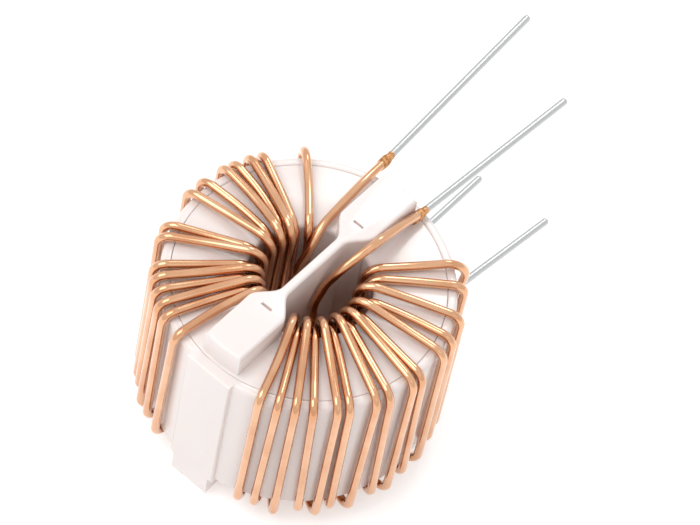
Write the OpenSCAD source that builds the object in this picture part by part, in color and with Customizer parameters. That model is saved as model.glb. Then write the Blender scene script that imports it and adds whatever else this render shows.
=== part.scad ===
// Toroidal common-mode choke: a ferrite ring in a two-part plastic case with a separator bar,
// and two hand-wound coils of enamelled copper wire whose tinned ends point along +X.
// It lies on its rear bar: Z = 0 is the underside of that bar, and Z is the ring's axis.

/* [Case] */
// Outer diameter of the ring case
case_od = 30; // [28:0.5:36]
// Diameter of the bore through the case
bore_d = 13; // [12.5:0.25:14]
// Height of the case between its two flat faces
case_h = 18.4; // [16:0.2:22]
// Thickness of the outer rim beside the lid
rim_t = 1.0; // [0.8:0.1:1.4]
// Width of the ledge that the lid lies on
ledge_w = 0.5; // [0.3:0.1:0.8]
// Thickness of the tube that lines the bore
tube_t = 0.9; // [0.7:0.1:1.2]
// Thickness of the rear floor
floor_t = 1.0; // [0.8:0.1:1.4]
// Thickness of the front lid
lid_t = 1.0; // [0.8:0.1:1.4]
// Rounding of the case's outer and bore edges
edge_r = 0.5; // [0.3:0.05:0.7]
// Gap around the lid, the fine line inside the rim
lid_gap = 0.12; // [0.06:0.02:0.2]

/* [Separator] */
// How far the bars stand out from the two faces
bar_rise = 2.85; // [2.6:0.05:3.4]
// Width of the bars on the ring
bar_w = 4.6; // [4:0.1:5]
// Distance from the case's edge to the rounded end of a bar
bar_setback = 1.35; // [1.2:0.05:1.8]
// Rounding along the top edges of the bars
bar_edge_r = 0.35; // [0.2:0.05:0.5]
// Thickness of the web across the bore
web_t = 1.0; // [0.8:0.05:1.2]
// Length of the straight, thin middle of the web
web_len = 8; // [7:0.25:9]
// Distance over which the web widens to the bar
flare_len = 3.2; // [2.8:0.1:4]
// Gap between the web and the case around it
web_gap = 0.1; // [0.05:0.01:0.2]
// Length of the two latch slots across the front bar
slot_len = 1.3; // [1:0.1:1.8]
// Width of the latch slots
slot_w = 0.3; // [0.2:0.05:0.5]
// Depth of the latch slots
slot_depth = 1.2; // [0.6:0.1:1.8]
// Width of the flat strap down the outside of the case
strap_w = 5.6; // [5.2:0.1:7]
// How far the strap's flat stands out from the round wall
strap_out = 0.25; // [0.2:0.05:0.5]

/* [Core] */
// Gap between the ferrite ring and the case around it
core_gap = 0.3; // [0.15:0.05:0.5]
// Rounding of the ferrite ring's edges
core_edge_r = 0.8; // [0.4:0.1:1.2]

/* [Wire] */
// Diameter of the enamelled wire
wire_d = 0.88; // [0.7:0.02:0.9]
// Air left beside a wire that lies on the case or on another wire
lay_gap = 0.06; // [0.04:0.01:0.12]
// How far a wire bows away from the case's outer edges
bow = 0.3; // [0.2:0.05:0.5]
// Diameter of a tinned wire end
tin_d = 0.76; // [0.6:0.02:0.8]
// Largest diameter of the burnt enamel at the root of a tinned end
collar_d = 1.06; // [1:0.02:1.2]
// Length of the burnt enamel
collar_len = 2.2; // [1.6:0.1:3]

/* [Wire ends] */
// Height of the two front ends above the front face
front_lift = 1.0; // [0.8:0.1:1.6]
// Distance of the two rear ends below the rear face
rear_drop = 1.5; // [1.3:0.1:1.7]
// Tinned length of the left coil's front end
tin_left_front = 23.6; // [16:0.1:30]
// Tinned length of the left coil's rear end
tin_left_rear = 17.4; // [12:0.1:24]
// Tinned length of the right coil's front end
tin_right_front = 21.1; // [16:0.1:30]
// Tinned length of the right coil's rear end
tin_right_rear = 18.9; // [12:0.1:24]

/* [Hidden] */
$fn = 96;

plastic = "#f3f1f5";
ferrite = "#3b3a3c";
copper = "#d99a66";

case_r = case_od / 2;
bore_r = bore_d / 2;
lid_r = case_r - rim_t;
cavity_r = lid_r - ledge_w;
tube_r = bore_r + tube_t;
back_z = bar_rise;
front_z = back_z + case_h;
top_z = front_z + bar_rise;
floor_z = back_z + floor_t;
lid_z = front_z - lid_t;
bar_end_r = case_r - bar_setback;
strap_x = case_r + strap_out;

// A wire's centre keeps this distance from the case, and this distance from the next wire
wire_r = wire_d / 2;
lay = wire_r + lay_gap;
strand = wire_d + lay_gap;

// Places of the turns, numbered from the wire ends to the strap, in degrees from +X.
// Over the case's outer edge they are uneven, as a hand leaves them.
left_outer = [44.5, 60, 64.5, 72, 76.5, 86.5, 93.5, 110, 116, 128.5, 134.5, 141, 147, 152.5, 162];
right_outer = [39.5, 48.5, 62.5, 72.5, 80, 93, 97.5, 108, 113.5, 124, 128.5, 137.5, 144, 150.5, 157.5];
left_last_leg = 148.4;
right_last_leg = 157.3;
turns = len(left_outer);
leg_pitch = 7.5;

// The legs in the bore lie in two layers, so that each nestles between two others
leg_r = bore_r - lay;
nested_leg_r = leg_r * cos(leg_pitch) - sqrt(max(0, pow(strand, 2) - pow(leg_r * sin(leg_pitch), 2)));
leg_spread = 1.04;
side_by_side = 2 * asin(strand * leg_spread / 2 / leg_r);

// The wire goes out over the even turns and comes back over the odd ones
winding_order = concat([for (k = [2:2:turns]) k], [for (k = [turns:-2:1]) k]);

function unit(v) = v / norm(v);

function polar(r, a, z) = [r * cos(a), r * sin(a), z];

// The largest share of the distance to the next corner that a bend may take up
bend_share = 0.45;

// A corner at p on the way from a to b, bent to radius r or as near as the straight parts allow
function bent(a, p, b, r) =
    let (
        u = unit(a - p),
        v = unit(b - p),
        turn = 180 - acos(max(-1, min(1, u * v))),
        reach = min(r * tan(turn / 2), bend_share * norm(a - p), bend_share * norm(b - p)),
        from = p + reach * u,
        to = p + reach * v,
        centre = p + unit(u + v) * reach / sin(turn / 2),
        steps = max(1, round(turn / 30))
    )
    turn < 2 ? [p] :
    [for (i = [0:steps])
        let (done = i / steps * turn)
        centre + (sin(turn - done) * (from - centre) + sin(done) * (to - centre)) / sin(turn)];

// A wire's centre line through points whose fourth number is the bend radius there
function centre_line(points) =
    let (p = [for (q = points) [q.x, q.y, q.z]], last = len(p) - 1)
    concat([p[0]], [for (i = [1:last - 1]) each bent(p[i - 1], p[i], p[i + 1], points[i][3])], [p[last]]);

// Round wire along a centre line: rings of points carried on from one to the next without twist
module wire(path) {
    sides = 8;
    last = len(path) - 1;
    straight = [for (i = [0:last - 1]) unit(path[i + 1] - path[i])];
    along = [for (i = [0:last]) unit(straight[max(0, i - 1)] + straight[min(last - 1, i)])];
    across = [for (i = 0, v = unit(cross(along[0], [0, 0, 1]));
        i <= last;
        i = i + 1, v = i <= last ? unit(v - (v * along[i]) * along[i]) : v) v];
    rings = [for (i = [0:last]) for (j = [0:sides - 1])
        let (a = 360 * j / sides)
        path[i] + wire_r * (cos(a) * across[i] + sin(a) * cross(along[i], across[i]))];
    skin = [for (i = [0:last - 1]) for (j = [0:sides - 1])
        let (a = i * sides + j, b = i * sides + (j + 1) % sides)
        each [[a, a + sides, b + sides], [a, b + sides, b]]];
    root = [for (j = [0:sides - 1]) j];
    tip = [for (j = [sides - 1:-1:0]) last * sides + j];
    polyhedron(rings, concat([root, tip], skin));
}

// Half the width of the bar at a distance x from the axis: thin web, easy curve, full bar
function bar_half(x) =
    let (t = min(1, max(0, (abs(x) - web_len / 2) / flare_len)))
    web_t / 2 + (bar_w - web_t) / 2 * (1 - cos(180 * t)) / 2;

// Plan of a bar from x = -left to x = right
module bar_plan(left, right) {
    steps = 10;
    curve = [for (i = [0:steps]) web_len / 2 + flare_len * i / steps];
    xs = concat([-left], [for (i = [steps:-1:0]) -curve[i]], curve, [right]);
    side = [for (x = xs) [x, bar_half(x)]];
    polygon(concat([for (p = side) [p.x, -p.y]], [for (i = [len(side) - 1:-1:0]) side[i]]));
}

// Section of a bar with the edges away from the case rounded, looking along it
module bar_section(low, high) {
    e = bar_edge_r;
    for (y = [e - bar_w / 2, bar_w / 2 - e])
        translate([y, high - e]) circle(r = e);
    translate([e - bar_w / 2, low]) square([bar_w - 2 * e, high - low]);
    translate([-bar_w / 2, low]) square([bar_w, high - low - e]);
}

// A bar whose flat top is at z = high, from x = -left to x = right
module bar(left, right, low, high) {
    intersection() {
        translate([0, 0, low]) linear_extrude(high - low) bar_plan(left, right);
        translate([-left, 0, 0]) rotate([90, 0, 90]) linear_extrude(left + right) bar_section(low, high);
    }
}

// Half section of a ring with all four edges rounded
module ring_section(r_in, r_out, low, high, e) {
    for (r = [r_in + e, r_out - e])
        for (z = [low + e, high - e])
            translate([r, z]) circle(r = e);
    translate([r_in + e, low]) square([r_out - r_in - 2 * e, high - low]);
    translate([r_in, low + e]) square([r_out - r_in, high - low - 2 * e]);
}

// The ferrite ring, lying on the floor of the case
module ferrite_core() {
    color(ferrite)
        rotate_extrude()
            ring_section(tube_r + core_gap, cavity_r - core_gap, floor_z, lid_z - core_gap, core_edge_r);
}

// The open case: outer wall with a ledge for the lid, floor, and the tube that lines the bore
module cup_ring() {
    rotate_extrude()
        difference() {
            ring_section(bore_r, case_r, back_z, front_z, edge_r);
            translate([0, lid_z]) square([lid_r, case_h]);
            translate([tube_r, floor_z]) square([cavity_r - tube_r, case_h]);
        }
}

// Case with the rear bar, and the flat strap and foot on the side away from the wire ends
module case_cup() {
    color(plastic) {
        cup_ring();
        intersection() {
            mirror([0, 0, 1]) bar(strap_x, case_r, -floor_z, 0);
            union() {
                cylinder(r = bar_end_r, h = floor_z);
                translate([-strap_x, -bar_w, 0]) cube([strap_x, 2 * bar_w, floor_z]);
            }
        }
        translate([-strap_x, -strap_w / 2, back_z]) cube([strap_x - lid_r, strap_w, case_h]);
    }
}

// Lid with the front bar, and the web that divides the bore down to the rear bar
module case_lid() {
    color(plastic)
        difference() {
            union() {
                rotate_extrude()
                    intersection() {
                        ring_section(bore_r, case_r, back_z, front_z, edge_r);
                        translate([0, lid_z]) square([lid_r - lid_gap, lid_t]);
                    }
                intersection() {
                    bar(case_r, case_r, lid_z, top_z);
                    cylinder(r = bar_end_r, h = top_z);
                }
                intersection() {
                    translate([0, 0, floor_z + web_gap])
                        linear_extrude(lid_z - floor_z) bar_plan(bore_r, bore_r);
                    cylinder(r = bore_r - web_gap, h = top_z);
                }
            }
            for (x = [-bore_r - tube_t / 2, bore_r + tube_t / 2])
                translate([x - slot_w / 2, -slot_len / 2, top_z - slot_depth])
                    cube([slot_w, slot_len, bar_rise]);
        }
}

// Even turns lead away from the wire ends, and lie flat on the rear face.
// The odd ones lead back over them.
function is_outward(k) = k % 2 == 0;
function rear_z(layer) = back_z - lay - (layer - 1) * strand;

// Bend radii that follow the rounded edges of the case
bore_bend = edge_r + lay;
outer_bend = edge_r + lay + 2 * bow;

// One turn up the outer wall, in over the front face and down the bore, with the angles
// of the wire outside, of its leg where it enters the bore and where it leaves it behind
function turn_points(k, outer, front, rear) =
    let (
        bottom_z = rear_z(is_outward(k) || k == turns ? 1 : 2),
        nested = !is_outward(k) && k > 1,
        r = nested ? nested_leg_r : leg_r,
        inset = leg_r - r,
        out_r = case_r + lay
    )
    [
        [each polar(out_r + bow, outer, bottom_z - bow), outer_bend],
        [each polar(out_r, outer, (back_z + front_z) / 2), outer_bend],
        [each polar(out_r + bow, outer, front_z + lay + bow), outer_bend],
        [each polar((r + out_r) / 2, (outer + front) / 2, front_z + lay + inset / 2), outer_bend],
        [each polar(r, front, front_z + lay + 1.2 * inset), bore_bend],
        [each polar(r, rear, k == 1 ? back_z - rear_drop : rear_z(nested ? 2 : 1)), bore_bend]
    ];

// A coil on the +Y side: front wire end, all turns as they are wound, rear wire end.
// The front end's leg leaves the bore between the first two others.
function coil_points(outer, last_leg, front_end, rear_end) =
    let (leg_2 = last_leg - (turns - 2) * leg_pitch)
    concat(
        front_end,
        [
            [each polar(leg_r - 1.7 * strand, leg_2 - side_by_side, back_z + case_h / 5), lead_bend],
            [each polar(leg_r, leg_2 - side_by_side, rear_z(1)), bore_bend]
        ],
        [for (k = winding_order)
            let (leg = k == 1 ? leg_2 - side_by_side : last_leg - (turns - k) * leg_pitch)
            each turn_points(k, outer[k - 1], leg, k == 1 ? leg - side_by_side : leg)],
        rear_end
    );

// Where a wire end has its root, and the angle at which it points away from +X
lead_bend = 4;
left_front_root = [case_r + 1.95, 3.82, front_z + front_lift];
left_front_turn = 3.2;
left_rear_root = [case_r + 2, 2.5, back_z - rear_drop];
left_rear_turn = 0.1;
right_front_root = [case_r - 0.9, 3, front_z + front_lift];
right_front_turn = 3.8;
right_rear_root = [case_r + 1.5, 4.2, back_z - rear_drop];
right_rear_turn = 5.7;

// Least distance from the middle plane of a wire beside the bar
function beside(x) = bar_half(x) + lay;

left_front_end = [
    [each left_front_root, 0],
    [case_r - 2.9, 3.77, front_z + front_lift + 0.5, lead_bend],
    [bore_r + 1.6, 3.62, front_z + front_lift, lead_bend],
    [each polar(bore_r + 0.1, 30.5, front_z + front_lift), lead_bend],
    [each polar(leg_r - 1.15 * strand, 38.4, front_z), lead_bend],
    [each polar(leg_r - 2 * strand, 52.5, front_z - 3), lead_bend]
];
left_rear_end = [
    [bore_r + 3, beside(bore_r + 3) + 0.3, back_z - rear_drop, lead_bend],
    [case_r - 1, beside(case_r) + 0.1, back_z - rear_drop, lead_bend],
    [each left_rear_root, 0]
];
right_front_end = [
    [each right_front_root, 0],
    [case_r - 2.7, beside(case_r) + 0.07, front_z + 1.7, lead_bend],
    [bore_r + 3.45, beside(case_r) + 0.1, top_z - 0.05, lead_bend],
    [bore_r + 1.8, beside(case_r) + 0.05, top_z + 0.2, lead_bend],
    [bore_r + 0.4, beside(bore_r + 0.4), top_z + 0.2, lead_bend],
    [bore_r - 0.3, beside(bore_r - 0.3) + 0.15, top_z - 0.35, lead_bend],
    [4.16, 2.31, front_z + 2, lead_bend],
    [2.45, 1.76, front_z + 1, lead_bend],
    [1.28, beside(0) + 0.05, front_z - 1, lead_bend],
    [-0.2, beside(0), front_z - 3, lead_bend],
    [0.4, beside(0) + 0.5, front_z - case_h / 2, lead_bend]
];
right_rear_end = [
    [bore_r + 3, 3.7, back_z - rear_drop, lead_bend],
    [case_r - 1.4, 3.9, back_z - rear_drop, lead_bend],
    [each right_rear_root, 0]
];

// Thickness of the burnt enamel where it starts on the wire
skin_t = 0.025;

// A tinned wire end with burnt enamel at its root and a rounded tip, from the origin along +X
module wire_end(length) {
    rotate([0, 90, 0]) {
        cylinder(d = tin_d, h = length - tin_d / 2);
        translate([0, 0, length - tin_d / 2]) sphere(d = tin_d);
        translate([0, 0, -collar_len / 2])
            rotate_extrude()
                polygon([
                    [0, 0], [wire_r + skin_t, 0], [collar_d / 2, collar_len / 4],
                    [collar_d / 2, collar_len / 2], [tin_d / 2, collar_len], [0, collar_len]
                ]);
    }
}

module winding_left() {
    color(copper) {
        wire(centre_line(coil_points(left_outer, left_last_leg, left_front_end, left_rear_end)));
        translate(left_front_root) rotate(left_front_turn) wire_end(tin_left_front);
        translate(left_rear_root) rotate(left_rear_turn) wire_end(tin_left_rear);
    }
}

module winding_right() {
    color(copper)
        mirror([0, 1, 0]) {
            wire(centre_line(coil_points(right_outer, right_last_leg, right_front_end, right_rear_end)));
            translate(right_front_root) rotate(right_front_turn) wire_end(tin_right_front);
            translate(right_rear_root) rotate(right_rear_turn) wire_end(tin_right_rear);
        }
}

ferrite_core();
case_cup();
case_lid();
winding_left();
winding_right();
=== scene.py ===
"""Looks of a toroidal common-mode choke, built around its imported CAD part.

The two case mouldings are rebuilt with rounded edges, and both coils are drawn
as smooth enamelled wire close to the route that they have in the CAD part.
Sizes in the classes are in millimetres; everything in Blender is in metres.
"""

import logging
import math
from collections.abc import Callable, Iterable
from dataclasses import dataclass
from enum import Enum

import bpy
from mathutils import Matrix, Vector


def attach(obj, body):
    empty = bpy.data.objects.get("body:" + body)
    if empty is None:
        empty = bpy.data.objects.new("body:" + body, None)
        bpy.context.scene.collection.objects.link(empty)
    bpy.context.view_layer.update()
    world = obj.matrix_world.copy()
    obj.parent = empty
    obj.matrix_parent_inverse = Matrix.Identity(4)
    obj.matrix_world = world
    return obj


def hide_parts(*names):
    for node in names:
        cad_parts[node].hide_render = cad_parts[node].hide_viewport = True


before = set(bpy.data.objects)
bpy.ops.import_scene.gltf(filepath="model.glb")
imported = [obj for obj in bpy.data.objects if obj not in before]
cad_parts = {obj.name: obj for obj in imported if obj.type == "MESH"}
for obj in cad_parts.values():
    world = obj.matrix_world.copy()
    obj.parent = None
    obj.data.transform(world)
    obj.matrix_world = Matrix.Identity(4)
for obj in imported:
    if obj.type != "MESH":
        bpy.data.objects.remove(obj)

LOG = logging.getLogger("choke")
MM = 0.001
# Points closer than MERGE become one, and a point within NEAR of a place counts as being there
MERGE = 1e-6
NEAR = 10 * MERGE
# Steps of a full turn of the case
TURN_STEPS = 160
# Edges that turn by more than these stay sharp in the shading, in degrees
MOULDED_CREASE = 32.0
WIRE_CREASE = 60.0
# Faces that turn by less than this lie in one plane, in degrees
FLAT = 0.4


class Side(Enum):
    """The side of the separator web that a coil is on, as the sign of its Y."""

    LEFT = 1
    RIGHT = -1


# Selecting, editing and finishing meshes


def deselect_all() -> None:
    """Leaves nothing selected, so that the next operator acts on its own piece only."""
    bpy.ops.object.select_all(action="DESELECT")


def activate(piece: bpy.types.Object) -> None:
    """Makes a piece the only selected object and the active one.

    Args:
        piece: The object that the next operators act on.
    """
    deselect_all()
    piece.select_set(True)
    bpy.context.view_layer.objects.active = piece


def apply_place(piece: bpy.types.Object) -> None:
    """Moves a piece's place, turn and scale into its mesh."""
    activate(piece)
    bpy.ops.object.transform_apply(location=True, rotation=True, scale=True)


def select_parts(piece: bpy.types.Object, kind: str, test: Callable[..., bool]) -> int:
    """Selects the parts of a mesh that pass a test, and opens it in edit mode.

    Args:
        piece: The mesh object to select in.
        kind: VERT, EDGE or FACE.
        test: Takes one vertex, one edge's two ends, or one face, and says whether it is wanted.

    Returns:
        The number of parts selected.
    """
    activate(piece)
    bpy.ops.object.mode_set(mode="EDIT")
    bpy.ops.mesh.select_mode(type=kind)
    bpy.ops.mesh.select_all(action="DESELECT")
    bpy.ops.object.mode_set(mode="OBJECT")
    mesh = piece.data
    if kind == "VERT":
        parts = [(vertex, [vertex.co]) for vertex in mesh.vertices]
    elif kind == "EDGE":
        parts = [(edge, [mesh.vertices[i].co for i in edge.vertices]) for edge in mesh.edges]
    else:
        parts = [(face, [face]) for face in mesh.polygons]
    for part, tested in parts:
        part.select = test(*tested)
    wanted = sum(part.select for part, _ in parts)
    bpy.ops.object.mode_set(mode="EDIT")
    return wanted


def select_whole(piece: bpy.types.Object) -> None:
    """Opens a mesh in edit mode with all of it selected.

    Args:
        piece: The mesh object.
    """
    activate(piece)
    bpy.ops.object.mode_set(mode="EDIT")
    bpy.ops.mesh.select_all(action="SELECT")


def end_edit() -> None:
    """Goes back to object mode."""
    bpy.ops.object.mode_set(mode="OBJECT")


def cut_across(piece: bpy.types.Object, axis: int, places: Iterable[float]) -> None:
    """Cuts a mesh by flat planes square to one axis, which leaves it whole.

    Args:
        piece: The mesh object.
        axis: 0, 1 or 2 for X, Y or Z.
        places: Where the planes stand on that axis, in metres.
    """
    normal = Vector((0, 0, 0))
    normal[axis] = 1
    for place in places:
        select_whole(piece)
        bpy.ops.mesh.bisect(plane_co=normal * place, plane_no=normal, threshold=MERGE)
        end_edit()


def mend(piece: bpy.types.Object) -> None:
    """Merges doubled points and turns all faces outward.

    Args:
        piece: The mesh object.
    """
    select_whole(piece)
    bpy.ops.mesh.remove_doubles(threshold=MERGE)
    bpy.ops.mesh.normals_make_consistent(inside=False)
    end_edit()


def clear_flats(piece: bpy.types.Object) -> None:
    """Joins faces that lie in one plane, so that a bevel meets clean edges.

    Args:
        piece: The mesh object.
    """
    select_whole(piece)
    bpy.ops.mesh.dissolve_limited(angle_limit=math.radians(FLAT))
    end_edit()


def combine(piece: bpy.types.Object, other: bpy.types.Object, operation: str) -> None:
    """Unites, cuts or intersects a piece with another one, which is used up.

    Args:
        piece: The mesh object that stays.
        other: The mesh object that is removed afterwards.
        operation: UNION, DIFFERENCE or INTERSECT.
    """
    activate(piece)
    modifier = piece.modifiers.new("combine", "BOOLEAN")
    modifier.operation = operation
    modifier.solver = "EXACT"
    modifier.object = other
    bpy.ops.object.modifier_apply(modifier=modifier.name)
    bpy.data.objects.remove(other, do_unlink=True)


def resize_section(piece: bpy.types.Object, x: float, across: float, upward: float) -> None:
    """Scales the section of a piece at one place along X.

    Args:
        piece: The mesh object.
        x: The place, in metres.
        across: Factor along Y.
        upward: Factor along Z.
    """
    select_parts(piece, "VERT", lambda co: abs(co.x - x) < NEAR)
    bpy.ops.transform.resize(value=(1, across, upward), center_override=(x, 0, 0))
    end_edit()


def smooth(piece: bpy.types.Object, degrees: float) -> None:
    """Shades a piece smooth, but for the edges that turn by more than an angle."""
    activate(piece)
    bpy.ops.object.shade_smooth_by_angle(angle=math.radians(degrees))


def give_material(piece: bpy.types.Object, material: bpy.types.Material) -> None:
    """Makes a material the only one of a piece."""
    piece.data.materials.clear()
    piece.data.materials.append(material)


def box_piece(name: str, low: Vector, high: Vector) -> bpy.types.Object:
    """Adds a box between two corners.

    Args:
        name: The object's name.
        low: Its lowest corner, in metres.
        high: Its highest corner, in metres.

    Returns:
        The new mesh object, with its place in its mesh.
    """
    deselect_all()
    bpy.ops.mesh.primitive_cube_add(size=1, location=(low + high) / 2, scale=high - low)
    piece = bpy.context.active_object
    piece.name = name
    apply_place(piece)
    return piece


def spun_section(
    name: str,
    inner: float,
    outer: float,
    low: float,
    high: float,
    cuts: tuple[tuple[float, ...], tuple[float, ...]] = ((), ()),
    hollow: Callable[[float, float], bool] = lambda r, z: False,
    roundings: tuple[tuple[float, Callable[[float, float], bool]], ...] = (),
    segments: int = 6,
) -> bpy.types.Object:
    """Makes a ring by spinning its section about Z.

    The section starts as a plane, is cut along lines, loses the cells that are
    hollow, and gets its chosen corners rounded before the spin.

    Args:
        name: The object's name.
        inner: Inner radius, in metres.
        outer: Outer radius, in metres.
        low: Height of its underside, in metres.
        high: Height of its top, in metres.
        cuts: Radii and heights at which the section is cut into cells.
        hollow: Says of a cell's middle, by radius and height, whether the cell is removed.
        roundings: Radii in metres, each with what says of a corner, by radius and height,
            whether it is rounded so.
        segments: Number of steps in each rounding.

    Returns:
        The new mesh object.
    """
    deselect_all()
    bpy.ops.mesh.primitive_plane_add(
        size=1, location=((inner + outer) / 2, 0, (low + high) / 2), rotation=(math.pi / 2, 0, 0)
    )
    piece = bpy.context.active_object
    piece.name = name
    piece.scale = (outer - inner, high - low, 1)
    apply_place(piece)
    cut_across(piece, 0, cuts[0])
    cut_across(piece, 2, cuts[1])
    if select_parts(piece, "FACE", lambda face: hollow(face.center.x, face.center.z)):
        bpy.ops.mesh.delete(type="FACE")
    end_edit()
    clear_flats(piece)
    for rounding, rounded in roundings:
        if select_parts(piece, "VERT", lambda co, is_so=rounded: is_so(co.x, co.z)):
            bpy.ops.mesh.bevel(
                offset=rounding, offset_type="OFFSET", segments=segments, affect="VERTICES"
            )
        end_edit()
    select_whole(piece)
    bpy.ops.mesh.delete(type="ONLY_FACE")
    bpy.ops.mesh.select_all(action="SELECT")
    bpy.ops.mesh.spin(steps=TURN_STEPS, angle=2 * math.pi, center=(0, 0, 0), axis=(0, 0, 1))
    end_edit()
    mend(piece)
    return piece


# The case


@dataclass(frozen=True)
class CaseSizes:
    """Sizes of the two case mouldings, in millimetres."""

    case_r: float = 15.0
    bore_r: float = 6.5
    case_h: float = 18.4
    bar_rise: float = 2.85
    rim_t: float = 1.0
    ledge_w: float = 0.5
    tube_t: float = 0.9
    plate_t: float = 1.0
    edge_r: float = 0.5
    lid_gap: float = 0.05
    joint_r: float = 0.12
    bar_w: float = 4.6
    bar_setback: float = 1.35
    bar_edge_r: float = 0.35
    web_t: float = 1.0
    web_len: float = 8.0
    flare_len: float = 3.2
    web_gap: float = 0.1
    slot_len: float = 1.3
    slot_w: float = 0.3
    slot_depth: float = 1.2
    strap_w: float = 5.6
    strap_out: float = 0.25
    strap_edge_r: float = 0.2

    @property
    def back_z(self) -> float:
        """Height of the ring's back face, above the underside of the rear bar."""
        return self.bar_rise

    @property
    def front_z(self) -> float:
        """Height of the ring's front face."""
        return self.back_z + self.case_h

    @property
    def top_z(self) -> float:
        """Height of the front bar's top."""
        return self.front_z + self.bar_rise

    @property
    def middle_z(self) -> float:
        """Height of the ring's middle plane."""
        return (self.back_z + self.front_z) / 2

    @property
    def tube_r(self) -> float:
        """Outer radius of the tube round the bore."""
        return self.bore_r + self.tube_t

    @property
    def ledge_r(self) -> float:
        """Inner radius of the ledge that carries the lid."""
        return self.lid_r - self.ledge_w

    @property
    def lid_r(self) -> float:
        """Radius of the recess that the lid lies in."""
        return self.case_r - self.rim_t

    @property
    def lid_z(self) -> float:
        """Height of the lid's underside."""
        return self.front_z - self.plate_t

    @property
    def floor_z(self) -> float:
        """Height of the floor's inner face."""
        return self.back_z + self.plate_t

    @property
    def bar_end_r(self) -> float:
        """Radius of the rounded ends of the bars."""
        return self.case_r - self.bar_setback

    @property
    def strap_x(self) -> float:
        """Distance of the strap's flat from the axis."""
        return self.case_r + self.strap_out

    def ring_x(self, t: float) -> float:
        """Gives a distance from the axis, where t is 0 at the bore and 1 at the outer edge."""
        return self.bore_r + t * (self.case_r - self.bore_r)

    def bar_half(self, x: float) -> float:
        """Gives half the bar's width at a distance from the axis.

        Args:
            x: Distance along the bar, in millimetres.

        Returns:
            Half the width there: thin web, easy curve, full bar.
        """
        t = min(1.0, max(0.0, (abs(x) - self.web_len / 2) / self.flare_len))
        return self.web_t / 2 + (self.bar_w - self.web_t) / 4 * (1 - math.cos(math.pi * t))


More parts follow.
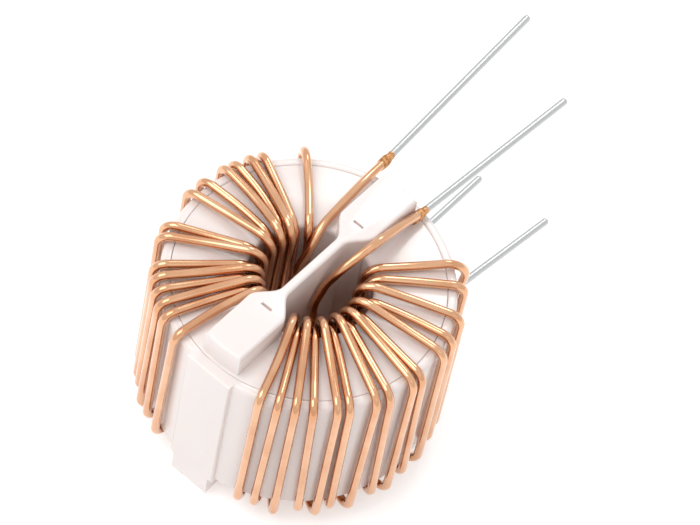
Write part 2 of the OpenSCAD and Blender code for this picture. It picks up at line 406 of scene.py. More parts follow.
@dataclass
class Case:
    """The open case and its lid, both moulded in one glossy white plastic."""

    sizes: CaseSizes
    plastic: bpy.types.Material
    curve_steps: int = 14
    end_steps: int = 8
    bar_segments: int = 5
    strap_segments: int = 4

    def bar(
        self, name: str, left: float, right: float, low: float, high: float
    ) -> bpy.types.Object:
        """Models a bar across the ring, thin over the bore and round at its ends.

        Args:
            name: The object's name.
            left: Length towards -X, in millimetres.
            right: Length towards +X, in millimetres.
            low: Height of its underside, in millimetres.
            high: Height of its top, in millimetres.

        Returns:
            The new mesh object, with sharp edges.
        """
        s = self.sizes
        half = s.bar_w / 2
        piece = box_piece(name, Vector((-left, -half, low)) * MM, Vector((right, half, high)) * MM)
        rows = [half * (2 * i / self.end_steps - 1) for i in range(1, self.end_steps)]
        cut_across(piece, 1, [y * MM for y in rows])
        steps = self.curve_steps
        stations = [s.web_len / 2 + s.flare_len * i / steps for i in range(steps)]
        stations = sorted([-x for x in stations] + stations)
        cut_across(piece, 0, [x * MM for x in stations])
        for x in stations:
            resize_section(piece, x * MM, s.bar_half(x) / half, 1)
        for end in (-left, right):
            if abs(abs(end) - s.bar_end_r) < MERGE:
                self.round_bar_end(piece, end, [-half, *rows, half])
        mend(piece)
        clear_flats(piece)
        return piece

    def round_bar_end(self, piece: bpy.types.Object, end: float, rows: list[float]) -> None:
        """Moves the points of a bar's end back onto the circle that the bars end on.

        Args:
            piece: The bar.
            end: Where the end is along X, in millimetres.
            rows: Where its points are along Y, in millimetres.
        """
        radius = self.sizes.bar_end_r
        for y in rows:
            at, row = end * MM, y * MM
            select_parts(
                piece, "VERT", lambda co: abs(co.x - at) < NEAR and abs(co.y - row) < NEAR
            )
            back = (radius - math.sqrt(radius**2 - y**2)) * MM
            bpy.ops.transform.translate(value=(-math.copysign(back, end), 0, 0))
            end_edit()

    def round_face_edges(self, piece: bpy.types.Object, height: float, radius: float) -> None:
        """Rounds all edges of the flat faces at one height.

        Args:
            piece: The mesh object.
            height: Height of the faces, in millimetres.
            radius: Radius of the rounding, in millimetres.
        """
        flat = height * MM
        select_parts(piece, "EDGE", lambda a, b: abs(a.z - flat) < NEAR and abs(b.z - flat) < NEAR)
        bpy.ops.mesh.bevel(
            offset=radius * MM, segments=self.bar_segments, affect="EDGES", clamp_overlap=True
        )
        end_edit()

    def build_cup(self) -> None:
        """Models the open case with its rear bar, strap and foot, in place of the CAD node."""
        s = self.sizes
        cup = spun_section(
            "case_cup_moulding",
            s.bore_r * MM,
            s.case_r * MM,
            s.back_z * MM,
            s.front_z * MM,
            cuts=(
                tuple(r * MM for r in (s.tube_r, s.ledge_r, s.lid_r)),
                (s.floor_z * MM, s.lid_z * MM),
            ),
            hollow=lambda r, z: (
                (z > s.lid_z * MM and r < s.lid_r * MM)
                or (z > s.floor_z * MM and s.tube_r * MM < r < s.ledge_r * MM)
            ),
            roundings=(
                (
                    s.edge_r * MM,
                    lambda r, z: (
                        abs(r - s.case_r * MM) < MERGE
                        or (abs(r - s.bore_r * MM) < MERGE and z < s.floor_z * MM)
                    ),
                ),
                (
                    s.joint_r * MM,
                    lambda r, z: abs(r - s.lid_r * MM) < MERGE and abs(z - s.front_z * MM) < MERGE,
                ),
            ),
        )
        bar = self.bar("rear_bar", s.strap_x, s.bar_end_r, 0, s.floor_z)
        self.round_face_edges(bar, 0, s.bar_edge_r)
        strap = box_piece(
            "strap",
            Vector((-s.strap_x, -s.strap_w / 2, s.back_z)) * MM,
            Vector((-s.lid_r, s.strap_w / 2, s.front_z)) * MM,
        )
        select_parts(strap, "EDGE", lambda a, b: max(a.x, b.x) < -s.lid_r * MM - MERGE)
        bpy.ops.mesh.bevel(offset=s.strap_edge_r * MM, segments=self.strap_segments, affect="EDGES")
        end_edit()
        combine(cup, bar, "UNION")
        combine(cup, strap, "UNION")
        self.finish(cup, "case_cup")

    def build_lid(self) -> None:
        """Models the lid with its front bar and the web in the bore, in place of the CAD node."""
        s = self.sizes
        middle_z = (s.lid_z + s.plate_t / 2) * MM
        lid = spun_section(
            "case_lid_moulding",
            s.bore_r * MM,
            (s.lid_r - s.lid_gap) * MM,
            s.lid_z * MM,
            s.front_z * MM,
            roundings=(
                (s.edge_r * MM, lambda r, z: r < s.tube_r * MM and z > middle_z),
                (s.joint_r * MM, lambda r, z: r > s.tube_r * MM and z > middle_z),
            ),
        )
        bar = self.bar("front_bar", s.bar_end_r, s.bar_end_r, s.lid_z, s.top_z)
        self.round_face_edges(bar, s.top_z, s.bar_edge_r)
        web = self.bar("web", s.bore_r, s.bore_r, s.floor_z + s.web_gap, s.lid_z + s.web_gap)
        deselect_all()
        bpy.ops.mesh.primitive_cylinder_add(
            vertices=TURN_STEPS,
            radius=(s.bore_r - s.web_gap) * MM,
            depth=s.top_z * MM,
            location=(0, 0, s.top_z / 2 * MM),
        )
        bore = bpy.context.active_object
        apply_place(bore)
        combine(web, bore, "INTERSECT")
        combine(lid, bar, "UNION")
        combine(lid, web, "UNION")
        middle = s.bore_r + s.tube_t / 2
        for x in (-middle, middle):
            slot = box_piece(
                "latch_slot",
                Vector((x - s.slot_w / 2, -s.slot_len / 2, s.top_z - s.slot_depth)) * MM,
                Vector((x + s.slot_w / 2, s.slot_len / 2, s.top_z + s.slot_depth)) * MM,
            )
            combine(lid, slot, "DIFFERENCE")
        self.finish(lid, "case_lid")

    def finish(self, piece: bpy.types.Object, node: str) -> None:
        """Cleans a moulding, dresses it, and lets it stand for its CAD node.

        Args:
            piece: The finished moulding.
            node: Name of the CAD node that it replaces.
        """
        mend(piece)
        smooth(piece, MOULDED_CREASE)
        give_material(piece, self.plastic)
        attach(piece, "root")
        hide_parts(node)
        LOG.info("%s stands for %s: %d faces", piece.name, node, len(piece.data.polygons))


# The wire

# A way that turns by less than this many degrees counts as straight
LEAST_BEND = 2.0
# A bend takes up to this share of the way to the next waypoint
BEND_SHARE = 0.45
# Share of its radius by which a tinned tip is rounded
TIP_ROUNDING = 0.96
# The lead passes this many strands in from the bore's wall, at this share of the case's height
LEAD_INSET = 1.7
LEAD_RISE = 0.2
# Height that a turn of the inner layer gains at the bore's mouth, per distance further in
INNER_LIFT = 1.2

# Place, left handle and right handle of a curve point
Knot = tuple[Vector, Vector, Vector]


@dataclass(frozen=True)
class Waypoint:
    """A place that the wire's centre heads for, and the bend radius there, in millimetres."""

    x: float
    y: float
    z: float
    bend: float

    @property
    def place(self) -> Vector:
        """The waypoint as a vector in metres."""
        return Vector((self.x, self.y, self.z)) * MM


def polar(radius: float, degrees: float, z: float, bend: float) -> Waypoint:
    """Gives a waypoint from its radius and angle about the ring's axis.

    Args:
        radius: Distance from the axis, in millimetres.
        degrees: Angle from +X.
        z: Height, in millimetres.
        bend: Bend radius, in millimetres.

    Returns:
        The waypoint.
    """
    turn = math.radians(degrees)
    return Waypoint(radius * math.cos(turn), radius * math.sin(turn), z, bend)


@dataclass(frozen=True)
class WireSizes:
    """Sizes of the wire and of how it lies, in millimetres."""

    wire_d: float = 0.94
    lay_gap: float = 0.05
    bow: float = 0.15
    first_bow: float = 0.75
    mouth_bow: float = 0.35
    tin_d: float = 0.82
    collar_d: float = 1.14
    collar_len: float = 2.2
    front_lift: float = 1.0
    rear_drop: float = 1.5
    lead_bend: float = 4.0
    easy_bend: float = 60.0

    @property
    def lay(self) -> float:
        """Distance of a wire's centre from the case that it lies on."""
        return self.wire_d / 2 + self.lay_gap

    @property
    def strand(self) -> float:
        """Distance between the centres of two wires side by side."""
        return self.wire_d + self.lay_gap


@dataclass(frozen=True)
class TurnAngles:
    """Places of a coil's turns in degrees from +X, from the wire ends to the strap."""

    mouth: tuple[float, ...]
    face: tuple[float, ...]
    outer: tuple[float, ...]
    under: tuple[float, ...]
    last_leg: float
    leg_pitch: float = 7.5
    least_pitch: float = 6.5

    @property
    def turns(self) -> int:
        """Number of turns."""
        return len(self.outer)


@dataclass(frozen=True)
class WireEnd:
    """A tinned end: its root, its turn from +X in degrees, and its length in millimetres."""

    name: str
    root: tuple[float, float, float]
    turn: float
    length: float


@dataclass(frozen=True)
class CollarShape:
    """How the burnt enamel swells over the wire, with its lengths in millimetres."""

    end: float = 0.8
    fullness: float = 0.6
    cover: float = 1.01
    smooth_edge: float = 0.1
    height: float = 0.028

    def swell(self, along: float) -> float:
        """Gives how full the collar is, from 0 to 1, at a share of its length."""
        return math.sin(math.pi * along / self.end) ** self.fullness if along < self.end else 0.0


@dataclass
class Coil:
    """One hand-wound coil of enamelled wire, on one side of the web."""

    name: str
    side: Side
    angles: TurnAngles
    front: WireEnd
    rear: WireEnd
    front_route: tuple[Waypoint, ...]
    rear_route: tuple[Waypoint, ...]
    case: CaseSizes
    wire: WireSizes
    enamel: bpy.types.Material
    round_steps: int = 6
    length_steps: int = 10
    bar_sides: int = 28
    tip_segments: int = 8
    collar_steps: int = 16

    @property
    def leg_r(self) -> float:
        """Radius at which the legs lie against the bore."""
        return self.case.bore_r - self.wire.lay

    @property
    def side_by_side(self) -> float:
        """Angle in degrees between two legs that lie side by side against the bore."""
        gap = self.wire.strand + self.wire.lay_gap
        return 2 * math.degrees(math.asin(gap / 2 / self.leg_r))

    def nested(self, radius: float, pitch: float) -> float:
        """Gives the radius of the inner layer of legs, where each nestles between two others.

        Args:
            radius: Radius of the outer layer, in millimetres.
            pitch: Angle from one leg to the next, in degrees.

        Returns:
            The radius of the inner layer, in millimetres.
        """
        turn = math.radians(pitch)
        across = self.wire.strand**2 - (radius * math.sin(turn)) ** 2
        return radius * math.cos(turn) - math.sqrt(max(0.0, across))

    def rear_z(self, layer: int) -> float:
        """Gives the height of a wire's centre behind the back face, by its layer."""
        return self.case.back_z - self.wire.lay - (layer - 1) * self.wire.strand

    def turn_route(self, k: int, rear: float) -> list[Waypoint]:
        """Lays one turn up the wall, in over the front face and down the bore.

        Args:
            k: Number of the turn, from the wire ends to the strap.
            rear: Angle at which its leg leaves the bore behind, in degrees.

        Returns:
            Its waypoints in the order they are wound.
        """
        c, w, t = self.case, self.wire, self.angles
        rows = (t.under, t.outer, t.face, t.mouth)
        under, outer, face, mouth = (row[k - 1] for row in rows)
        outward = k % 2 == 0
        inner = not outward and k > 1
        bottom_z = self.rear_z(1 if outward or k == t.turns else 2)
        mouth_r = self.leg_r - w.mouth_bow
        r = self.nested(mouth_r, t.least_pitch) if inner else mouth_r
        inset = mouth_r - r
        back_r = self.nested(self.leg_r, t.leg_pitch) if inner else self.leg_r
        behind_z = c.back_z - w.rear_drop if k == 1 else self.rear_z(2 if inner else 1)
        out_r = c.case_r + w.lay
        off = w.first_bow if k == 1 else w.bow
        bore_bend = c.edge_r + w.lay
        outer_bend = bore_bend + 2 * off
        mouth_bend = bore_bend + 2 * w.mouth_bow
        return [
            polar(out_r + off, under, bottom_z - off, outer_bend),
            polar(out_r, (under + outer) / 2, c.middle_z, w.easy_bend),
            polar(out_r + off, outer, c.front_z + w.lay + off, outer_bend),
            polar((r + out_r) / 2, face, c.front_z + w.lay + inset / 2, w.easy_bend),
            polar(r, mouth, c.front_z + w.lay + INNER_LIFT * inset + w.mouth_bow, mouth_bend),
            polar(back_r, rear, behind_z, bore_bend),
        ]

    def route(self) -> list[Waypoint]:
        """Lays the whole wire, front end first.

        The wire goes out over the even turns and comes back over the odd ones.

        Returns:
            All waypoints, as if the coil were on the +Y side.
        """
        c, w, t = self.case, self.wire, self.angles
        legs = [t.last_leg - (t.turns - k) * t.leg_pitch for k in range(1, t.turns + 1)]
        lead_leg = legs[1] - self.side_by_side
        legs[0] = lead_leg - self.side_by_side
        points = [Waypoint(*self.front.root, 0.0), *self.front_route]
        rising_z = c.back_z + LEAD_RISE * c.case_h
        points.append(polar(self.leg_r - LEAD_INSET * w.strand, lead_leg, rising_z, w.lead_bend))
        points.append(polar(self.leg_r, lead_leg, self.rear_z(1), c.edge_r + w.lay))
        for k in [*range(2, t.turns + 1, 2), *range(t.turns, 0, -2)]:
            points += self.turn_route(k, legs[k - 1])
        return [*points, *self.rear_route, Waypoint(*self.rear.root, 0.0)]

    def add_bend(
        self, knots: list[Knot], a: Vector, p: Vector, b: Vector, radius: float
    ) -> None:
        """Adds the curve points of one bend: its start and end, with handles that make an arc.

        Args:
            knots: The curve points so far.
            a: The waypoint before.
            p: The waypoint at the bend.
            b: The waypoint after.
            radius: The wanted bend radius, in metres.
        """
        back, ahead = (a - p).normalized(), (b - p).normalized()
        turn = math.pi - back.angle(ahead)
        if turn < math.radians(LEAST_BEND):
            return
        room = BEND_SHARE * min((a - p).length, (b - p).length)
        reach = min(radius * math.tan(turn / 2), room)
        # The handle length with which a cubic curve follows an arc
        handle = reach / math.tan(turn / 2) * 4 / 3 * math.tan(turn / 4)
        start, end = p + back * reach, p + ahead * reach
        lead_in = (a - start) / 3 if not knots else (knots[-1][0] - start) / 3
        if knots:
            place, left, _ = knots[-1]
            knots[-1] = (place, left, place + (start - place) / 3)
        knots.append((start, start + lead_in, start - back * handle))
        knots.append((end, end - ahead * handle, end))

    def curve_points(self) -> list[Knot]:
        """Lays a curve along the route, with an arc at each bend.

        Returns:
            Its curve points.
        """
        mirror = Matrix.Scale(self.side.value, 4, Vector((0, 1, 0)))
        route = self.route()
        places = [mirror @ point.place for point in route]
        knots = [(places[0], places[0], places[0])]
        for i in range(1, len(places) - 1):
            self.add_bend(knots, places[i - 1], places[i], places[i + 1], route[i].bend * MM)
        last = places[-1]
        place, left, _ = knots[-1]
        knots[-1] = (place, left, place + (last - place) / 3)
        knots.append((last, last + (place - last) / 3, last))
        return knots

    def build_wire(self) -> bpy.types.Object:
        """Draws the wire as one curve, and makes it a mesh.

        Returns:
            The new mesh object.
        """
        knots = self.curve_points()
        deselect_all()
        bpy.ops.curve.primitive_bezier_curve_add(location=(0, 0, 0))
        piece = bpy.context.active_object
        piece.name = self.name
        spline = piece.data.splines[0]
        spline.bezier_points.add(len(knots) - len(spline.bezier_points))
        for point, (co, left, right) in zip(spline.bezier_points, knots):
            point.handle_left_type = point.handle_right_type = "FREE"
            point.co, point.handle_left, point.handle_right = co, left, right
        piece.data.resolution_u = self.length_steps
        piece.data.bevel_depth = self.wire.wire_d / 2 * MM
        piece.data.bevel_resolution = self.round_steps
        piece.data.use_fill_caps = True
        activate(piece)
        bpy.ops.object.convert(target="MESH")
        mend(piece)
        return piece

    def build_tinned_end(self, end: WireEnd, tin: bpy.types.Material) -> None:
        """Models one tinned end as a straight round bar with a rounded tip.

        Args:
            end: The wire end.
            tin: Its material.
        """
        radius = self.wire.tin_d / 2
        piece = self.straight_piece(f"tinned_{end.name}", radius, 0.0, end.length)
        select_parts(piece, "EDGE", lambda a, b: min(a.x, b.x) > end.length * MM - MERGE)
        rounding = TIP_ROUNDING * radius * MM
        bpy.ops.mesh.bevel(offset=rounding, segments=self.tip_segments, affect="EDGES")
        end_edit()
        self.place_end(piece, end)
        self.dress(piece, tin)

    def build_burnt_enamel(self, end: WireEnd, scorch: bpy.types.Material, seed: int) -> None:
        """Models the rough collar of burnt enamel at the root of a tinned end.

        Args:
            end: The wire end.
            scorch: Its material.
            seed: Seed of its roughness.
        """
        w, rough = self.wire, CollarShape()
        start, stop = -w.collar_len / 2, w.collar_len / 2
        piece = self.straight_piece(f"burnt_enamel_{end.name}", w.collar_d / 2, start, stop)
        steps = self.collar_steps
        rings = [start + (stop - start) * i / steps for i in range(1, steps)]
        cut_across(piece, 0, [x * MM for x in rings])
        for i, x in enumerate([start, *rings, stop]):
            along = i / steps
            thin = w.wire_d * (1 - along) + w.tin_d * along
            scale = (thin * rough.cover + (w.collar_d - thin) * rough.swell(along)) / w.collar_d
            resize_section(piece, x * MM, scale, scale)
        first, last = (start + rough.smooth_edge) * MM, (stop - rough.smooth_edge) * MM
        select_parts(piece, "VERT", lambda co: first < co.x < last)
        bpy.ops.transform.vertex_random(offset=rough.height * MM, seed=seed)
        end_edit()
        self.place_end(piece, end)
        self.dress(piece, scorch)

    def straight_piece(
        self, name: str, radius: float, start: float, stop: float
    ) -> bpy.types.Object:
        """Adds a round bar along X.

        Args:
            name: The object's name.
            radius: Its radius, in millimetres.
            start: Where it starts, in millimetres.
            stop: Where it stops, in millimetres.

        Returns:
            The new mesh object, with its place in its mesh.
        """
        deselect_all()
        bpy.ops.mesh.primitive_cylinder_add(
            vertices=self.bar_sides,
            radius=radius * MM,
            depth=(stop - start) * MM,
            location=((start + stop) / 2 * MM, 0, 0),
            rotation=(0, math.pi / 2, 0),
        )
        piece = bpy.context.active_object
        piece.name = name
        apply_place(piece)
        return piece

    def place_end(self, piece: bpy.types.Object, end: WireEnd) -> None:
        """Turns a piece modelled along X into the line of a wire end.

        Args:
            piece: The piece, with its root at the origin.
            end: The wire end that it belongs to.
        """
        sign = self.side.value
        x, y, z = end.root
        piece.rotation_euler = (0, 0, math.radians(end.turn) * sign)
        piece.location = Vector((x, y * sign, z)) * MM
        apply_place(piece)
        mend(piece)

    def dress(self, piece: bpy.types.Object, material: bpy.types.Material) -> None:
        """Shades a piece of the wire smooth, gives it its material and lets it ride.

        Args:
            piece: The piece, in place.
            material: Its material.
        """
        smooth(piece, WIRE_CREASE)
        give_material(piece, material)
        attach(piece, "root")
        LOG.info("%s: %d faces", piece.name, len(piece.data.polygons))

    def build(self, node: str, tin: bpy.types.Material, scorch: bpy.types.Material) -> None:
        """Builds the whole coil with its two ends, in place of its CAD node.

        Args:
            node: Name of the CAD node that it replaces.
            tin: Material of the tinned ends.
            scorch: Material of the burnt enamel.
        """
        wire = self.build_wire()
        self.dress(wire, self.enamel)
        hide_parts(node)
        for seed, end in enumerate((self.front, self.rear)):
            self.build_tinned_end(end, tin)
            self.build_burnt_enamel(end, scorch, seed + 1)


# Finishes


def linear(hex_colour: str) -> tuple[float, float, float, float]:
    """Turns an sRGB hex colour into Blender's linear colour.

    Args:
        hex_colour: Six hex digits after a hash.

    Returns:
        Linear red, green and blue, and an alpha of 1.
    """
    parts = [int(hex_colour[i : i + 2], 16) / 255 for i in (1, 3, 5)]
    return (*[c / 12.92 if c <= 0.04045 else ((c + 0.055) / 1.055) ** 2.4 for c in parts], 1.0)


def add_node(
    tree: bpy.types.NodeTree, kind: str, inputs: dict[str | int, object], **settings: object
) -> bpy.types.Node:
    """Adds one shader node with its settings, values and links.

    Args:
        tree: The node tree.
        kind: The node's type name.
        inputs: A value, or the output socket to link, for each named input.
        **settings: The node's own properties.

    Returns:
        The new node.
    """
    node = tree.nodes.new(kind)
    for name, value in settings.items():
        setattr(node, name, value)
    for name, value in inputs.items():
        if isinstance(value, bpy.types.NodeSocket):
            tree.links.new(value, node.inputs[name])
        else:
            node.inputs[name].default_value = value
    return node


def empty_material(name: str) -> tuple[bpy.types.Material, bpy.types.NodeTree]:
    """Makes a material whose node tree is empty.

    Args:
        name: Its name.

    Returns:
        The material and its tree.
    """
    material = bpy.data.materials.new(name)
    material.use_nodes = True
    material.node_tree.nodes.clear()
    return material, material.node_tree


@dataclass(frozen=True)
class MouldedPlastic:
    """Glossy white thermoplastic polyester, injection moulded in a polished tool."""

    colour: str = "#F8EEEB"
    roughness: float = 0.15
    ior: float = 1.54
    ripple_mm: float = 7.0
    ripple_height_mm: float = 0.02
    ripple_strength: float = 0.25
    milkiness: float = 0.3
    glow_mm: float = 0.5
    glow_colours: tuple[float, float, float] = (1.0, 0.6, 0.5)

    def material(self) -> bpy.types.Material:
        """Builds the material.

        The polished skin gives soft-edged highlights. The slow ripple of the
        shrunk moulding bends them a little, as on any thick plastic wall. Light
        goes a little way in, which keeps the shaded corners warm.

        Returns:
            The material.
        """
        material, tree = empty_material("moulded_white_polyester")
        place = add_node(tree, "ShaderNodeTexCoord", {})
        ripple = add_node(
            tree,
            "ShaderNodeTexNoise",
            {"Vector": place.outputs["Object"], "Scale": 1 / (self.ripple_mm * MM), "Detail": 1.0},
        )
        bump = add_node(
            tree,
            "ShaderNodeBump",
            {
                "Height": ripple.outputs["Fac"],
                "Strength": self.ripple_strength,
                "Distance": self.ripple_height_mm * MM,
            },
        )
        shader = add_node(
            tree,
            "ShaderNodeBsdfPrincipled",
            {
                "Base Color": linear(self.colour),
                "Roughness": self.roughness,
                "IOR": self.ior,
                "Subsurface Weight": self.milkiness,
                "Subsurface Radius": self.glow_colours,
                "Subsurface Scale": self.glow_mm * MM,
                "Normal": bump.outputs["Normal"],
            },
        )
        add_node(tree, "ShaderNodeOutputMaterial", {"Surface": shader.outputs["BSDF"]})
        return material


@dataclass(frozen=True)
class EnamelledCopper:
    """Drawn copper under a thin, clear, slightly amber polyurethane enamel."""

    copper: str = "#DCA981"
    shade: str = "#D0956A"
    roughness: float = 0.18
    patch_mm: float = 3.5
    patch_range: tuple[float, float] = (0.3, 0.6)
    enamel: float = 0.8
    enamel_roughness: float = 0.05
    enamel_ior: float = 1.55

    def material(self) -> bpy.types.Material:
        """Builds the material.

        The drawn copper reflects the room in orange, and the enamel over it
        adds the thin, sharp, nearly white highlight along each strand. Slow
        changes of enamel thickness darken the copper in places.

        Returns:
            The material.
        """
        material, tree = empty_material("enamelled_copper_wire")
        place = add_node(tree, "ShaderNodeTexCoord", {})
        patches = add_node(
            tree,
            "ShaderNodeTexNoise",
            {"Vector": place.outputs["Object"], "Scale": 1 / (self.patch_mm * MM), "Detail": 2.0},
        )
        ramp = add_node(tree, "ShaderNodeValToRGB", {"Fac": patches.outputs["Fac"]})
        colours = (self.shade, self.copper)
        for stop, position, colour in zip(ramp.color_ramp.elements, self.patch_range, colours):
            stop.position, stop.color = position, linear(colour)
        shader = add_node(
            tree,
            "ShaderNodeBsdfPrincipled",
            {
                "Base Color": ramp.outputs["Color"],
                "Metallic": 1.0,
                "Roughness": self.roughness,
                "Coat Weight": self.enamel,
                "Coat Roughness": self.enamel_roughness,
                "Coat IOR": self.enamel_ior,
            },
        )
        add_node(tree, "ShaderNodeOutputMaterial", {"Surface": shader.outputs["BSDF"]})
        return material


@dataclass(frozen=True)
class DippedTin:
    """Tin solder left on the wire end by a dip bath."""

    colour: str = "#BFC1C1"
    roughness: float = 0.34
    dimple_mm: float = 0.6
    dimple_depth_mm: float = 0.03
    dimple_strength: float = 0.5

    def material(self) -> bpy.types.Material:
        """Builds the material.

        Solder that froze on the wire is bright but not quite even, so its
        highlight is broad and breaks up along the end.

        Returns:
            The material.
        """
        material, tree = empty_material("dipped_tin")
        place = add_node(tree, "ShaderNodeTexCoord", {})
        dimples = add_node(
            tree,
            "ShaderNodeTexNoise",
            {"Vector": place.outputs["Object"], "Scale": 1 / (self.dimple_mm * MM), "Detail": 3.0},
        )
        bump = add_node(
            tree,
            "ShaderNodeBump",
            {
                "Height": dimples.outputs["Fac"],
                "Strength": self.dimple_strength,
                "Distance": self.dimple_depth_mm * MM,
            },
        )
        shader = add_node(
            tree,
            "ShaderNodeBsdfPrincipled",
            {
                "Base Color": linear(self.colour),
                "Metallic": 1.0,
                "Roughness": self.roughness,
                "Normal": bump.outputs["Normal"],
            },
        )
        add_node(tree, "ShaderNodeOutputMaterial", {"Surface": shader.outputs["BSDF"]})
        return material


@dataclass(frozen=True)
class SinteredFerrite:
    """Manganese zinc ferrite, pressed, sintered and tumbled."""

    colour: str = "#3C3B3D"
    roughness: float = 0.6
    ior: float = 2.3

    def material(self) -> bpy.types.Material:
        """Builds the material, an even matt charcoal grey that takes hardly any highlight.

        Returns:
            The material.
        """
        material, tree = empty_material("sintered_ferrite")
        shader = add_node(
            tree,
            "ShaderNodeBsdfPrincipled",
            {"Base Color": linear(self.colour), "Roughness": self.roughness, "IOR": self.ior},
        )
        add_node(tree, "ShaderNodeOutputMaterial", {"Surface": shader.outputs["BSDF"]})
        return material


@dataclass(frozen=True)
class BurntEnamel:
    """Enamel charred to a brown crust by the dip bath, over bare copper."""

    crust: str = "#A87040"
    copper: str = "#DCA573"
    metallic: float = 0.75
    roughness: float = 0.42
    flake_mm: float = 0.35
    flake_range: tuple[float, float] = (0.42, 0.6)
    flake_height_mm: float = 0.05
    flake_strength: float = 0.8

    def material(self) -> bpy.types.Material:
        """Builds the material.

        The crust is rough and brown, with copper showing between its flakes.

        Returns:
            The material.
        """
        material, tree = empty_material("burnt_enamel")
        place = add_node(tree, "ShaderNodeTexCoord", {})
        flakes = add_node(
            tree,
            "ShaderNodeTexNoise",
            {"Vector": place.outputs["Object"], "Scale": 1 / (self.flake_mm * MM), "Detail": 4.0},
        )
        ramp = add_node(tree, "ShaderNodeValToRGB", {"Fac": flakes.outputs["Fac"]})
        colours = (self.crust, self.copper)
        for stop, position, colour in zip(ramp.color_ramp.elements, self.flake_range, colours):
            stop.position, stop.color = position, linear(colour)
        bump = add_node(
            tree,
            "ShaderNodeBump",
            {
                "Height": flakes.outputs["Fac"],
                "Strength": self.flake_strength,
                "Distance": self.flake_height_mm * MM,
            },
        )
        shader = add_node(
            tree,
            "ShaderNodeBsdfPrincipled",
            {
                "Base Color": ramp.outputs["Color"],
                "Metallic": self.metallic,
                "Roughness": self.roughness,
                "Normal": bump.outputs["Normal"],
            },
        )
        add_node(tree, "ShaderNodeOutputMaterial", {"Surface": shader.outputs["BSDF"]})
        return material


# The studio


def white_rays(tree: bpy.types.NodeTree) -> bpy.types.Node:
    """Adds nodes that give 1 where the camera sees the background, straight or in a reflection.

    Args:
        tree: The node tree.

    Returns:
        The node with that output.
    """
    ray = add_node(tree, "ShaderNodeLightPath", {})
    mirrored = add_node(
        tree,
        "ShaderNodeMath",
        {0: ray.outputs["Is Glossy Ray"], 1: ray.outputs["Is Transmission Ray"]},
        operation="MAXIMUM",
    )
    return add_node(
        tree,
        "ShaderNodeMath",
        {0: ray.outputs["Is Camera Ray"], 1: mirrored.outputs[0]},
        operation="MAXIMUM",
    )


@dataclass(frozen=True)
class Softbox:
    """A square soft light, by its direction from the object in degrees."""

    name: str
    azimuth: float
    elevation: float
    distance_m: float
    side_m: float
    watts: float

    def add(self, aim: Vector) -> None:
        """Adds the light, facing the object.

        Args:
            aim: The point that it faces, in metres.
        """
        a, e = math.radians(self.azimuth), math.radians(self.elevation)
        towards = Vector((math.cos(a) * math.cos(e), math.sin(a) * math.cos(e), math.sin(e)))
        deselect_all()
        bpy.ops.object.light_add(type="AREA", location=towards * self.distance_m + aim)
        lamp = bpy.context.active_object
        lamp.name = self.name
        lamp.rotation_euler = towards.to_track_quat("Z", "Y").to_euler()
        lamp.data.shape = "SQUARE"
        lamp.data.size = self.side_m
        lamp.data.energy = self.watts


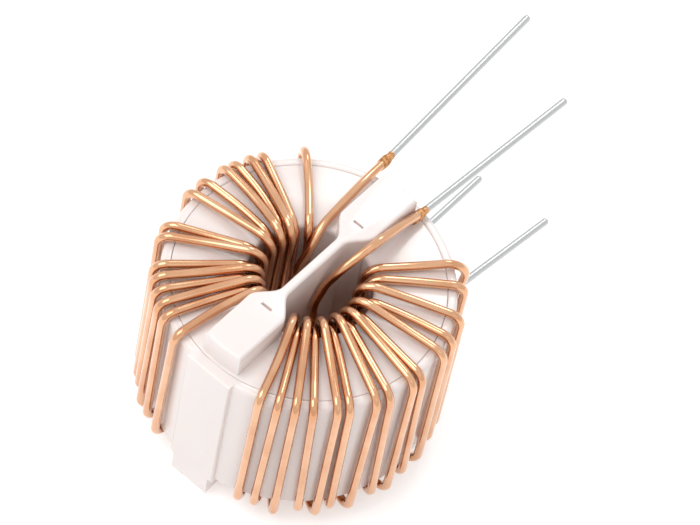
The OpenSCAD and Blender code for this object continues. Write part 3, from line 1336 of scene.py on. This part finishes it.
@dataclass(frozen=True)
class Studio:
    """White room with a pale floor, soft lights and the camera at the photographed angle.

    The camera's place and turn were solved from the rims of the ring; its
    distance and shifts are in millimetres, its angles in degrees.
    """

    azimuth: float = 59.67
    elevation: float = 56.27
    roll: float = 12.79
    distance: float = 456.87
    shift_right: float = 5.16
    shift_up: float = 6.79
    focal_pixels: float = 4500.0
    image_width: float = 700.0
    sensor_mm: float = 36.0
    clip_m: tuple[float, float] = (0.01, 10.0)
    paper: str = "#F4F4F4"
    white: str = "#FFFFFF"
    floor_side_m: float = 4.0
    floor_z_m: float = -0.0002
    floor_glow: float = 0.42
    room_light: float = 0.71
    aim_z_m: float = 0.012
    bounces: int = 10
    softboxes: tuple[Softbox, ...] = (
        Softbox("key_softbox", 140, 60, 0.6, 0.42, 1.3),
        Softbox("fill_softbox", 250, 45, 0.7, 0.3, 0.08),
        Softbox("back_softbox", 20, 50, 0.7, 0.18, 0.6),
    )

    def add_floor(self) -> None:
        """Adds the pale floor, which the camera sees as white but for the soft shadow."""
        deselect_all()
        bpy.ops.mesh.primitive_plane_add(size=self.floor_side_m, location=(0, 0, self.floor_z_m))
        floor = bpy.context.active_object
        floor.name = "floor"
        material, tree = empty_material("white_paper_floor")
        paper = add_node(tree, "ShaderNodeBsdfDiffuse", {"Color": linear(self.paper)})
        glow = add_node(
            tree, "ShaderNodeEmission", {"Color": linear(self.white), "Strength": self.floor_glow}
        )
        both = add_node(tree, "ShaderNodeAddShader", {0: paper.outputs[0], 1: glow.outputs[0]})
        seen = white_rays(tree)
        mix = add_node(
            tree,
            "ShaderNodeMixShader",
            {0: seen.outputs[0], 1: paper.outputs[0], 2: both.outputs[0]},
        )
        add_node(tree, "ShaderNodeOutputMaterial", {"Surface": mix.outputs[0]})
        floor.data.materials.append(material)

    def add_world(self) -> None:
        """Fills the room with soft light, and shows the camera plain white beyond the floor."""
        world = bpy.data.worlds.new("soft_room")
        bpy.context.scene.world = world
        world.use_nodes = True
        tree = world.node_tree
        tree.nodes.clear()
        room, backdrop = (
            add_node(
                tree, "ShaderNodeBackground", {"Color": linear(self.white), "Strength": strength}
            )
            for strength in (self.room_light, 1.0)
        )
        seen = white_rays(tree)
        mix = add_node(
            tree,
            "ShaderNodeMixShader",
            {0: seen.outputs[0], 1: room.outputs[0], 2: backdrop.outputs[0]},
        )
        add_node(tree, "ShaderNodeOutputWorld", {"Surface": mix.outputs[0]})

    def add_camera(self, middle_z: float) -> None:
        """Adds the camera at the photograph's viewing angle.

        Args:
            middle_z: Height of the ring's middle plane, in metres.
        """
        e, roll = math.radians(self.elevation), math.radians(self.roll)
        back = Vector((0, -math.cos(e), math.sin(e)))
        level = Vector((1, 0, 0))
        upward = back.cross(level)
        right = math.cos(roll) * level + math.sin(roll) * upward
        up = -math.sin(roll) * level + math.cos(roll) * upward
        place = (back * self.distance + right * self.shift_right + up * self.shift_up) * MM
        turn = Matrix.Rotation(-math.radians(self.azimuth), 3, "Z")
        axes = Matrix([turn @ right, turn @ up, turn @ back]).transposed()
        deselect_all()
        bpy.ops.object.camera_add()
        camera = bpy.context.active_object
        camera.name = "camera"
        place = turn @ place + Vector((0, 0, middle_z))
        camera.matrix_world = Matrix.Translation(place) @ axes.to_4x4()
        camera.data.sensor_width = self.sensor_mm
        camera.data.lens = self.focal_pixels / self.image_width * self.sensor_mm
        camera.data.clip_start, camera.data.clip_end = self.clip_m
        bpy.context.scene.camera = camera

    def build(self, middle_z: float) -> None:
        """Sets up floor, world, lights and camera.

        Args:
            middle_z: Height of the ring's middle plane, in metres.
        """
        self.add_floor()
        self.add_world()
        for softbox in self.softboxes:
            softbox.add(Vector((0, 0, self.aim_z_m)))
        self.add_camera(middle_z)
        bpy.context.scene.view_settings.view_transform = "Standard"
        # Light finds its way out from between the turns only after many bounces
        bpy.context.scene.cycles.diffuse_bounces = self.bounces
        bpy.context.scene.cycles.glossy_bounces = self.bounces


# The whole choke


def left_coil(case: CaseSizes, wire: WireSizes, enamel: bpy.types.Material) -> Coil:
    """Gives the coil on the left of the bar, with the places of its turns and ends.

    Args:
        case: Sizes of the case that it lies on.
        wire: Sizes of the wire.
        enamel: Material of the enamelled wire.

    Returns:
        The coil, not yet built.
    """
    ring_x, strand, easy, bend = case.ring_x, wire.strand, wire.easy_bend, wire.lead_bend
    beside = case.bar_w / 2 + wire.lay
    high, low = case.front_z + wire.front_lift, case.back_z - wire.rear_drop
    leg_r = case.bore_r - wire.lay
    return Coil(
        name="wire_left",
        side=Side.LEFT,
        angles=TurnAngles(
            mouth=(
                42.9, 56, 63, 69.5, 76.3, 83, 91.5, 103.5,
                110.5, 121.5, 128.5, 135.5, 142, 148.5, 155,
            ),
            face=(
                41.8, 57.6, 62.6, 67.8, 73.6, 82.8, 92, 108.2,
                113.8, 127, 132.9, 138.8, 144.5, 150, 157.5,
            ),
            outer=(
                43.5, 59.8, 65, 71.5, 76.3, 86.2, 93.8, 111.3,
                117, 130, 135.3, 141, 147, 152.5, 162,
            ),
            under=(
                43.5, 60, 65, 72, 77, 86.5, 93.5, 110,
                116, 127, 132, 138.5, 144, 152, 159.5,
            ),
            last_leg=148.4,
        ),
        front=WireEnd("left_front", (ring_x(1.1), 3.8 * strand, high), 3.2, 24.7),
        rear=WireEnd("left_rear", (ring_x(1.235), 2.53 * strand, low), 0.1, 17.4),
        front_route=(
            Waypoint(ring_x(0.66), 3.55 * strand, high + strand / 2, easy),
            Waypoint(ring_x(0.19), 3.4 * strand, high, easy),
            polar(case.bore_r - strand / 4, 30.5, case.front_z + 0.8, bend),
            polar(leg_r - 1.4 * strand, 36.5, case.front_z - strand / 2, bend),
            polar(leg_r - 2 * strand, 52.5, case.front_z - 4 * strand, bend),
        ),
        rear_route=(
            Waypoint(ring_x(0.35), beside + strand / 3, low, easy),
            Waypoint(ring_x(0.88), beside + strand / 8, low, easy),
        ),
        case=case,
        wire=wire,
        enamel=enamel,
    )


def right_coil(case: CaseSizes, wire: WireSizes, enamel: bpy.types.Material) -> Coil:
    """Gives the coil on the right of the bar, whose front end rises out of the bore along the web.

    Args:
        case: Sizes of the case that it lies on.
        wire: Sizes of the wire.
        enamel: Material of the enamelled wire.

    Returns:
        The coil, not yet built.
    """
    ring_x, strand, easy, bend = case.ring_x, wire.strand, wire.easy_bend, wire.lead_bend
    beside = case.bar_w / 2 + wire.lay
    web_side = case.web_t / 2 + wire.lay
    rise = case.top_z - case.front_z
    high, low = case.front_z + wire.front_lift, case.back_z - wire.rear_drop
    return Coil(
        name="wire_right",
        side=Side.RIGHT,
        angles=TurnAngles(
            mouth=(
                35.5, 47.5, 60, 71.5, 79.5, 88, 95, 102,
                109.8, 118.3, 126.5, 134.5, 142, 149.5, 156.5,
            ),
            face=(
                37.2, 46.8, 60, 70.2, 78.6, 91, 95.8, 106,
                112, 121.5, 127.6, 136.4, 143.2, 150, 156.2,
            ),
            outer=(
                39.5, 48.5, 62.5, 72.5, 80, 93, 97.5, 108,
                113.5, 124, 128.5, 137.5, 144, 150.5, 157.5,
            ),
            under=(
                38, 48, 63, 72.5, 80, 90.7, 98.3, 106.1,
                115.2, 123.2, 128.3, 135.3, 144.2, 152.1, 158.4,
            ),
            last_leg=157.3,
        ),
        front=WireEnd("right_front", (ring_x(0.8), 2.98 * strand, high), 3.8, 21.9),
        rear=WireEnd("right_rear", (ring_x(1.18), 4.24 * strand, low), 5.7, 18.9),
        front_route=(
            Waypoint(ring_x(0.62), beside + 0.1 * strand, case.front_z + 0.6 * rise, easy),
            Waypoint(ring_x(0.43), beside + 0.1 * strand, case.front_z + 0.8 * rise, easy),
            Waypoint(ring_x(0.24), beside + 0.1 * strand, case.front_z + 0.95 * rise, easy),
            Waypoint(
                case.bore_r + 0.4 * strand,
                beside + 0.05 * strand,
                case.top_z + 0.2 * strand,
                easy,
            ),
            Waypoint(
                0.93 * case.bore_r,
                case.bar_half(case.bore_r) + wire.lay + 0.15 * strand,
                case.top_z + 0.12 * strand,
                bend,
            ),
            Waypoint(0.64 * case.bore_r, 2.4 * strand, case.front_z + 0.85 * rise, bend),
            Waypoint(0.38 * case.bore_r, 1.82 * strand, case.front_z + 0.42 * rise, bend),
            Waypoint(0.2 * case.bore_r, web_side + strand / 10, case.front_z - strand, bend),
            Waypoint(0, web_side, case.front_z - 3.2 * strand, bend),
            Waypoint(0, web_side + strand / 2, case.middle_z, bend),
        ),
        rear_route=(
            Waypoint(ring_x(0.35), 3.8 * strand, low, easy),
            Waypoint(ring_x(0.85), 3.95 * strand, low, easy),
        ),
        case=case,
        wire=wire,
        enamel=enamel,
    )


def main() -> None:
    """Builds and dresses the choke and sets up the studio."""
    logging.basicConfig(level=logging.INFO, format="%(message)s")
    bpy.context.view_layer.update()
    sizes, wire = CaseSizes(), WireSizes()
    case = Case(sizes, MouldedPlastic().material())
    case.build_cup()
    case.build_lid()
    give_material(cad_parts["ferrite_core"], SinteredFerrite().material())
    enamel = EnamelledCopper().material()
    tin = DippedTin().material()
    scorch = BurntEnamel().material()
    left_coil(sizes, wire, enamel).build("winding_left", tin, scorch)
    right_coil(sizes, wire, enamel).build("winding_right", tin, scorch)
    Studio().build(sizes.middle_z * MM)


if __name__ == "__main__":
    main()
